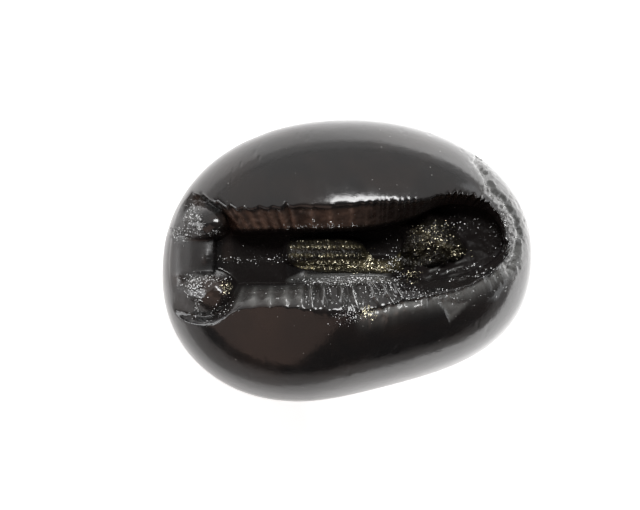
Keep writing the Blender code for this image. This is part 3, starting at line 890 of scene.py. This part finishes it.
# Masks for the stone's finish, 0 to 1 at each point: one for painted shade over the floor and chamber; one
# for a painted warm reflection on the upper wall, darker between its ribs as painted shade, and a brown tint
# on the lobes; one for pale fresh chips, worn edges and the whorl's flank, with painted highlights on the
# lower ribs and striations and a painted sheen over the lower wall; inside for a stronger relief in the
# hollow; and dull for the saddle
def stoneMasks(points, depth, isUpper, onRib, chipsAndSheen):
    plan = points[..., :2]
    x, y = points[..., 0], points[..., 1]
    flankTop = np.interp(x, (-10.5, -5.0, 8.0), (-3.3, -0.9, -1.2))
    onFlank = smoothStep(-10.8, -9.6, x) * smoothStep(8.0, 5.0, x)
    onFlank = onFlank * smoothStep(-3.9, -3.4, y) * smoothStep(0.4, -0.3, y - flankTop)
    onFloor = smoothStep(0.68, 0.85, depth) * smoothStep(-21.5, -19.0, x) * (1.0 - onFlank)
    farRight = smoothStep(9.0, 12.0, x) * smoothStep(0.25, 0.5, depth)
    inChamber = np.where(depth < 0.8, 0.7, 1.0) * smoothStep(0.08, 0.3, depth)
    inChamber = inChamber * smoothStep(3.0, 9.0, x) * np.maximum(isUpper, farRight)
    overLobes = smoothStep(-19.0, -21.5, x) * smoothStep(0.0, 0.2, depth)
    overSaddle = (1.0 - offSaddle(plan)) * smoothStep(-22.0, -23.5, x)
    # Painted highlights along the striations' crests
    paintedStriationHighlights = striations(plan) * (depth > 0.3)
    onLowerWall = smoothStep(0.02, 0.15, depth) * smoothStep(1.0, 0.85, depth)
    onLowerWall = onLowerWall * smoothStep(-20.0, -17.0, x) * smoothStep(10.0, 6.0, x) * ~isUpper
    # The upper wall gets a painted warm reflection that fades to the right; it is lighter on the ribs and
    # darker between them as painted shade
    onUpperWall = smoothStep(0.05, 0.2, depth) * isUpper
    onUpperWall = onUpperWall * smoothStep(-22.0, -19.0, x) * smoothStep(24.0, 16.0, x)
    onUpperWall = onUpperWall * (0.3 + 0.7 * smoothStep(7.0, -3.0, x))
    ribsLitGapsShaded = np.clip(0.4 + 1.4 * onRib, 0.0, 1.0)
    paintedWallReflection = onUpperWall * np.maximum(ribsLitGapsShaded, smoothStep(-9.0, -6.0, x) * 0.75)
    lobeBrown = 0.22 * overLobes * smoothStep(0.0, 0.5, planNoise(plan, 3.0, 61)) * (1.0 - overSaddle)
    leftRibs = smoothStep(-7.0, -9.0, x)
    # Painted highlights on the lower ribs, and a painted sheen over the whole lower wall
    paintedRibHighlights = np.clip(1.3 * onRib, 0.0, 0.9) * onLowerWall * (0.3 + 0.7 * leftRibs)
    chipsAndPaintedLight = chipsAndSheen + paintedRibHighlights + onLowerWall * (0.06 + 0.14 * leftRibs) + 0.75 * onFlank + paintedStriationHighlights
    return {
        # painted shade over the floor and chamber, lifted on the striations' painted highlights
        "deepShade": np.clip(np.maximum(onFloor, inChamber), 0.0, 1.0) * (1.0 - 0.9 * paintedStriationHighlights),
        "brownAndWarmReflection": np.maximum(paintedWallReflection, lobeBrown),
        "chipsAndSheen": np.clip(chipsAndPaintedLight, 0.0, 1.0),
        "inside": smoothStep(0.0, 0.3, depth) * (1.0 - 0.5 * overLobes) * (1.0 - 0.8 * overSaddle),
        "dull": overSaddle * smoothStep(0.0, 0.06, depth),
    }


# The stone, moved so that its outline is centred on the CAD box
points, depth, lipRing, isUpper, onRib = stoneGrid()
roundLip(points, lipRing, hollow["lipRounding"])
chipsAndSheen = wearStone(points, depth, lipRing)
lumpFloor(points, lipRing)
middle = 0.5 * (points[..., :2].min((0, 1)) + points[..., :2].max((0, 1)))
points[..., :2] += 0.5 * (boxLow + boxHigh)[:2] - middle
masks = stoneMasks(points, depth, isUpper, onRib, chipsAndSheen)
stone = surfacePiece("nodule_skin", points, masks, blackStone())
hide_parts("nodule")
print("stone skin made,", len(stone.data.polygons), "faces")

# The crust on the whorl and the mound: x, and the low and high y that it covers there, and how many
# steps it has along, across and under it
crust = {
    "rows": (
        (-10.3, 0.4, 2.4), (-9.9, -0.5, 3.3), (-8.0, -1.6, 3.7), (-4.0, -2.2, 3.9), (0.0, -2.4, 3.8),
        (2.6, -2.4, 3.0), (4.6, -2.5, 0.6), (7.2, -2.5, 0.5), (9.0, -2.1, 1.8), (10.6, -1.8, 5.6),
        (13.0, -1.6, 7.2), (16.0, -1.1, 7.2), (18.4, -0.4, 5.0), (20.2, 0.8, 2.2), (20.6, 1.4, 1.6),
    ),
    "steps": (440, 96, 8),
    "thickness": 0.55,
    "sink": 0.6,
    "beadHalfWidth": 0.46,
    "lumpHeights": (0.22, 0.55),
    "fineLumps": 0.16,
    "ridgeY": ((-9.0, -0.4, 9.0), (-1.5, -0.8, -1.2)),
    "ridgeTop": ((-9.5, -6.0, 4.0, 9.5), (26.6, 28.3, 27.6, 24.6)),
    "ridgeHalfWidth": 0.9,
    "ridgeFrom": ((-9.8, -8.0), (9.8, 8.0)),
}


# The crust: floor height plus a coat that thins to nothing at its edge, raised into rows of beads and a
# ridge on the whorl and rough lumps elsewhere; the underside follows it inside the stone. Also how rich
# in bright crystals each point is, 0 to 1
def crustGrid():
    along, across, under = crust["steps"]
    x, low, high = np.array(crust["rows"]).T
    place = np.linspace(x[-1], x[0], along)
    low, high = np.interp(place, x, low), np.interp(place, x, high)
    shareUp = np.linspace(0.0, 1.0, across)
    shareDown = np.linspace(1.0, 0.0, under + 2)[1:-1]
    share = np.concatenate([shareUp, shareDown])[None, :]
    plan = np.stack(np.broadcast_arrays(place[:, None], low[:, None] + (high - low)[:, None] * share), -1)
    base = floorHeight(plan)
    inset = np.minimum(share, 1.0 - share) * (high - low)[:, None]
    inset = np.minimum(inset, np.minimum(place - x[0], x[-1] - place)[:, None])
    wander = 0.6 * planNoise(plan, 0.9, 51) * smoothStep(0.0, 0.5, inset)
    coat = crust["thickness"] * (smoothStep(0.0, 0.9, inset + wander) - 0.25)
    x, y = plan[..., 0], plan[..., 1]
    offWhorl = np.abs((x - whorl["centre"][0]) / whorl["halfLength"])
    onWhorl = smoothStep(1.0, 0.86, offWhorl) * smoothStep(-1.0, -0.3, y)
    lean = x + 0.3 * y + 0.12 * planNoise(plan, 1.2, 52)
    bead = np.abs(np.cos(np.pi * lean / whorl["beadPitch"]))
    halfWidth = crust["beadHalfWidth"]
    rowsOfBeads = sum(weight * np.exp(-(((y - rowY) / halfWidth) ** 2)) for rowY, weight in whorl["beadRows"])
    relief = whorl["beadHeight"] * onWhorl * (0.15 + 0.85 * bead) * (0.25 + rowsOfBeads)
    relief = relief * (1.0 + 0.5 * planNoise(plan, 1.0, 56))
    onMound = smoothStep(8.5, 10.5, x)
    least, more = crust["lumpHeights"]
    relief = relief + (least + more * onMound) * (1.0 - onWhorl) * planNoise(plan, 0.9, 53)
    relief = relief + crust["fineLumps"] * planNoise(plan, 0.35, 54, 2)
    top = base + coat + relief * smoothStep(0.0, 0.5, inset)
    fromRidge = np.abs(y - np.interp(x, *crust["ridgeY"])) / crust["ridgeHalfWidth"]
    ridgeTop = np.interp(x, *crust["ridgeTop"]) + 0.4 * planNoise(plan, 0.8, 57)
    left, right = crust["ridgeFrom"]
    ridge = np.exp(-(fromRidge**2.6)) * smoothStep(*left, x) * smoothStep(*right, x)
    top = top + ridge * np.maximum(ridgeTop - top, 0.0) * smoothStep(0.0, 0.3, inset)
    isUnder = np.arange(share.shape[1]) >= across
    height = np.where(isUnder[None, :], base - crust["sink"], top)
    stripe = (0.25 + 0.75 * bead) * np.clip(rowsOfBeads, 0.0, 1.0) ** 2
    ofMound = 0.32 * np.exp(-(((y - 6.1 + 0.62 * (x - 10.8)) / 1.3) ** 2))
    ofMound = ofMound + 0.25 * np.exp(-((x - 12.0) ** 2 + (y - 1.4) ** 2) / 3.0)
    rich = onWhorl * stripe + (1.0 - onWhorl) * np.where(x > 9.0, ofMound, 0.5)
    rich = rich * smoothStep(-0.5, 0.3, planNoise(plan, 1.2, 55)) * smoothStep(0.1, 0.8, inset)
    rich = np.maximum(rich, 0.9 * ridge * smoothStep(0.05, 0.3, inset))
    shift = 0.5 * (boxLow + boxHigh)[:2] - middle
    grid = np.concatenate([plan + shift, height[..., None]], -1)
    for end in (0, -1):
        grid[end] = grid[end].mean(0)     # the ends close in a point inside the stone
    return grid, rich


crustPoints, rich = crustGrid()
crustPiece = surfacePiece("pyrite_skin", crustPoints, {"rich": rich}, pyriteCrust())
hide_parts("pyrite_crust")
print("crust made,", len(crustPiece.data.polygons), "faces")

# Loose crystals on the hollow's surface. Each cluster: middle x and y, spread in x and y, and how many.
# Each row along the beads: the x from and to, and the y. Each stroke: x and y of its two ends, and how
# many. The places are taken from some of the surface's grid cells, a higher one before a lower one
grains = {
    "pyrite": (
        (-3.6, 3.3, 3.2, 0.15, 23), (-3.8, 2.2, 3.4, 0.2, 36), (-4.2, 0.8, 3.2, 0.2, 52),
        (-3.0, -0.7, 3.0, 0.35, 300), (3.0, -0.9, 2.8, 0.6, 130), (4.0, 0.6, 0.5, 0.6, 48),
        (11.4, 5.2, 0.9, 0.7, 32), (12.3, 1.6, 1.0, 0.9, 32), (13.4, 4.4, 1.0, 0.8, 36),
        (15.6, 3.2, 1.2, 0.7, 44), (18.4, 1.2, 0.9, 0.5, 60), (10.9, -2.3, 0.8, 0.7, 60),
        (-20.6, -4.7, 0.5, 0.5, 90), (3.2, -8.9, 0.8, 0.5, 171), (15.6, 5.8, 1.8, 0.9, 44),
    ),
    "stone": (
        (-26.6, 7.6, 0.7, 1.2, 418), (-25.3, 6.6, 0.4, 1.2, 456), (-26.2, -4.0, 0.8, 0.9, 798),
        (-25.6, -6.6, 0.3, 1.2, 323), (-23.2, -3.3, 1.2, 0.5, 209), (-22.4, 4.7, 0.9, 0.3, 133),
        (-14.8, 0.1, 3.4, 0.4, 171), (-14.0, 2.6, 3.0, 1.5, 57), (-5.0, 5.5, 6.0, 0.4, 380),
        (-2.0, -3.5, 3.0, 0.35, 760), (-5.0, -5.5, 7.0, 1.6, 228), (4.5, -4.6, 2.4, 1.4, 228),
        (1.0, -3.3, 1.6, 0.3, 300), (5.2, -3.5, 1.4, 0.4, 180), (0.2, -9.3, 1.5, 0.8, 304),
        (14.0, -6.0, 4.5, 0.8, 420), (20.2, 6.4, 2.4, 1.2, 114), (7.6, 0.2, 0.8, 1.1, 171),
        (7.0, 4.4, 0.8, 1.0, 57), (-24.2, -9.2, 1.8, 0.7, 76), (-21.6, -8.4, 1.2, 0.8, 95),
        (24.6, 5.6, 0.7, 2.6, 133), (-5.7, 5.6, 0.12, 0.9, 86), (-2.6, 5.3, 0.12, 0.6, 86),
        (0.8, 5.3, 0.15, 0.6, 57), (-28.6, 4.6, 0.8, 0.6, 420), (26.6, 6.0, 0.5, 2.4, 209),
        (27.4, 1.8, 0.7, 1.8, 171), (24.0, -2.4, 2.0, 0.8, 114), (8.6, -2.6, 0.5, 0.9, 76),
    ),
    "rows": ((-9.7, 2.2, 2.28), (-9.3, 1.8, 0.84)),
    "strokes": (
        (13.0, -3.06, 15.6, -1.72, 44), (16.7, -3.5, 20.3, -2.7, 52), (16.7, -2.1, 18.7, -1.4, 40),
        (19.3, -1.7, 21.8, -0.53, 44), (20.9, -2.8, 22.9, -2.2, 30), (-6.2, -4.4, -5.6, -6.7, 48),
        (-3.5, -3.6, -2.9, -6.3, 60), (-1.4, -3.4, -0.7, -6.0, 70), (0.1, -2.8, 1.4, -6.8, 80),
        (2.8, -2.6, 4.1, -3.9, 60), (4.1, -3.6, 5.8, -6.0, 80), (6.4, -3.2, 7.5, -5.1, 60),
        (7.8, -2.9, 9.8, -4.8, 44),
    ),
    "perBead": 2,
    "rowSpread": 0.1,
    "strokeSpread": 0.06,
    "radius": (0.022, 0.06),
    "ringsOutside": 14,
    "cellsTried": 60000,
    "favourHigh": 0.02,
    "batches": 60,
    "leanToKey": 0.27,
    "scatter": 0.14,
}


# Places for the clusters' grains: a normal spread round each middle, moved to a random point of the
# nearest grid cell of stone or crust. Rows add a few grains to each bead, strokes a line of them
def grainPlaces(clusters, rows, strokes, rng):
    middles = np.repeat([cluster[:2] for cluster in clusters], [cluster[4] for cluster in clusters], axis=0)
    spreads = np.repeat([cluster[2:4] for cluster in clusters], [cluster[4] for cluster in clusters], axis=0)
    wanted = middles + spreads * rng.normal(size=middles.shape)
    for startX, endX, rowY in rows:
        rowX = np.arange(startX, endX, whorl["beadPitch"])
        onRow = np.stack([rowX, np.full(len(rowX), rowY)], -1)
        onRow = np.repeat(onRow, grains["perBead"], axis=0)
        wanted = np.concatenate([wanted, onRow + rng.normal(0.0, grains["rowSpread"], onRow.shape)])
    for startX, startY, endX, endY, count in strokes:
        run = rng.uniform(0.0, 1.0, (count, 1)) * (endX - startX, endY - startY)
        aside = rng.normal(0.0, grains["strokeSpread"], (count, 2))
        wanted = np.concatenate([wanted, (startX, startY) + run + aside])
    grids = points[lipRing - grains["ringsOutside"]:], crustPoints[:, :crust["steps"][1]]
    corners = np.concatenate([grid.reshape(-1, 3) for grid in grids])
    alongs = np.concatenate([np.diff(grid, axis=0, append=grid[-1:]).reshape(-1, 3) for grid in grids])
    acrosses = np.concatenate([np.diff(grid, axis=1, append=grid[:, -1:]).reshape(-1, 3) for grid in grids])
    some = np.random.default_rng(3).permutation(len(corners))[:grains["cellsTried"]]
    cornersXY = corners[some, :2].astype(np.float32)
    raised = grains["favourHigh"] * corners[some, 2][None]
    nearest = []
    for part in np.array_split(wanted.astype(np.float32), grains["batches"]):
        squared = ((cornersXY[None] - part[:, None]) ** 2).sum(-1)
        nearest.append(np.argmin(squared - raised, axis=1))
    nearest = some[np.concatenate(nearest)]
    share = rng.uniform(0.0, 1.0, (2, len(nearest), 1))
    return corners[nearest] + share[0] * alongs[nearest] + share[1] * acrosses[nearest]


rng = np.random.default_rng(7)
for kind, material, slotName in (("pyrite", pyriteGrain(), "pyrite"), ("stone", darkGrain(), "black_stone")):
    isPyrite = kind == "pyrite"
    rows, strokes = (grains["rows"], ()) if isPyrite else ((), grains["strokes"])
    places = grainPlaces(grains[kind], rows, strokes, rng)
    sizes = rng.uniform(*grains["radius"], len(places))
    crystalPiece(kind + "_grains", places, sizes, rng, material)
    print(kind, "grains made,", len(places))

# camera: straight above, far enough to flatten the view as the photo does
view = {"distance": 900.0, "mmPerPixel": 0.1707, "centrePixel": (347.5, 260.5), "imagePixels": (640, 510)}
cameraData = bpy.data.cameras.new("camera")
cameraData.sensor_width = 36.0
cameraData.lens = 36.0 * view["distance"] / (view["imagePixels"][0] * view["mmPerPixel"])
cameraData.clip_end = 10.0
camera = bpy.data.objects.new("camera", cameraData)
bpy.context.scene.collection.objects.link(camera)
aside = (view["imagePixels"][0] / 2 - view["centrePixel"][0]) * view["mmPerPixel"]
above = (view["centrePixel"][1] - view["imagePixels"][1] / 2) * view["mmPerPixel"]
camera.location = (aside * mm, above * mm, (view["distance"] + pebble["girthHeight"]) * mm)
bpy.context.scene.camera = camera

# floor and light: each light's place and size in metres, its brightness and colour
studio = {
    "floorSize": 5.0,
    "floorColour": (0.88, 0.88, 0.88, 1),
    "floorGlow": 0.75,
    "brightSide": {"azimuth": 5.0, "from": -10.0, "to": 90.0, "glow": 3.4},
    "glowMiddle": (16.0, 14.0),
    "glowReach": 112.0,
    "glowEnd": {"azimuth": -125.0, "reach": 70.0},
    "world": (0.045, 0.045, 0.048, 1),
    "lights": (
        ("topBox", (-0.06, 0.47, 0.34), (1.5, 0.80), 0.78, (1.0, 0.98, 0.97)),
        ("rightCard", (0.50, 0.10, 0.06), (0.75, 0.12), 2.1, (0.96, 0.98, 1.0)),
        ("leftCard", (-0.50, 0.03, 0.14), (0.19, 0.30), 6.2, (0.98, 0.99, 1.0)),
        ("leftSpot", (-0.48, -0.14, 0.13), (0.07, 0.12), 9.0, (1.0, 1.0, 1.0)),
        ("keyStrip", (0.09, 0.36, 0.62), (0.30, 0.18), 20.0, (1.0, 1.0, 1.0)),
        ("warmCard", (-0.24, -0.33, 0.33), (0.62, 0.50), 0.60, (1.0, 0.68, 0.56)),
    ),
}

floorMesh = bpy.data.meshes.new("floor")
half = studio["floorSize"] / 2
floorCorners = [(-half, -half, 0), (half, -half, 0), (half, half, 0), (-half, half, 0)]
floorMesh.from_pydata(floorCorners, [], [(0, 1, 2, 3)])
floorObject = bpy.data.objects.new("floor", floorMesh)
bpy.context.scene.collection.objects.link(floorObject)
floorMaterial, floorTree, floorShader = newMaterial("paleFloor")
floorShader.inputs["Base Color"].default_value = studio["floorColour"]
floorShader.inputs["Roughness"].default_value = 0.7
floorShader.inputs["Emission Color"].default_value = (1, 1, 1, 1)
floorPlace = addNode(floorTree, "ShaderNodeTexCoord").outputs["Object"]


# How far a floor point lies out in the direction of the azimuth
def outToward(azimuth):
    direction = (np.cos(np.radians(azimuth)), np.sin(np.radians(azimuth)), 0.0)
    product = {"operation": "DOT_PRODUCT"}
    return addNode(floorTree, "ShaderNodeVectorMath", product, i0=floorPlace, i1=direction).outputs["Value"]


# The floor glows more toward its bright side, and not beyond the reach of the glow
side, end = studio["brightSide"], studio["glowEnd"]
across = outToward(side["azimuth"])
glow = mapRange(floorTree, across, side["from"] * mm, side["to"] * mm, studio["floorGlow"], side["glow"])
glowMiddle = (studio["glowMiddle"][0] * mm, studio["glowMiddle"][1] * mm, 0.0)
distance = addNode(floorTree, "ShaderNodeVectorMath", {"operation": "DISTANCE"}, i0=floorPlace, i1=glowMiddle)
fromMiddle = distance.outputs["Value"]
reach = mapRange(floorTree, fromMiddle, studio["glowReach"] * mm, (studio["glowReach"] + 12.0) * mm, 1.0, 0.0)
cut = mapRange(floorTree, outToward(end["azimuth"]), end["reach"] * mm, (end["reach"] + 8.0) * mm, 1.0, 0.0)
glow = multiply(floorTree, multiply(floorTree, glow, reach), cut)
floorTree.links.new(glow, floorShader.inputs["Emission Strength"])
floorMesh.materials.append(floorMaterial)

target = Vector((0.0, 0.0, 0.02))
for name, place, size, radiance, colour in studio["lights"]:
    light = bpy.data.lights.new(name, "AREA")
    light.shape = "RECTANGLE"
    light.size, light.size_y = size
    light.color = colour
    light.energy = radiance * np.pi * size[0] * size[1]
    lamp = bpy.data.objects.new(name, light)
    lamp.location = place
    lamp.rotation_euler = (target - Vector(place)).to_track_quat("-Z", "Y").to_euler()
    bpy.context.scene.collection.objects.link(lamp)

world = bpy.data.worlds.new("studio")
world.use_nodes = True
world.node_tree.nodes["Background"].inputs["Color"].default_value = studio["world"]
bpy.context.scene.world = world
bpy.context.scene.view_settings.view_transform = "Standard"
print("camera, floor and lights placed")
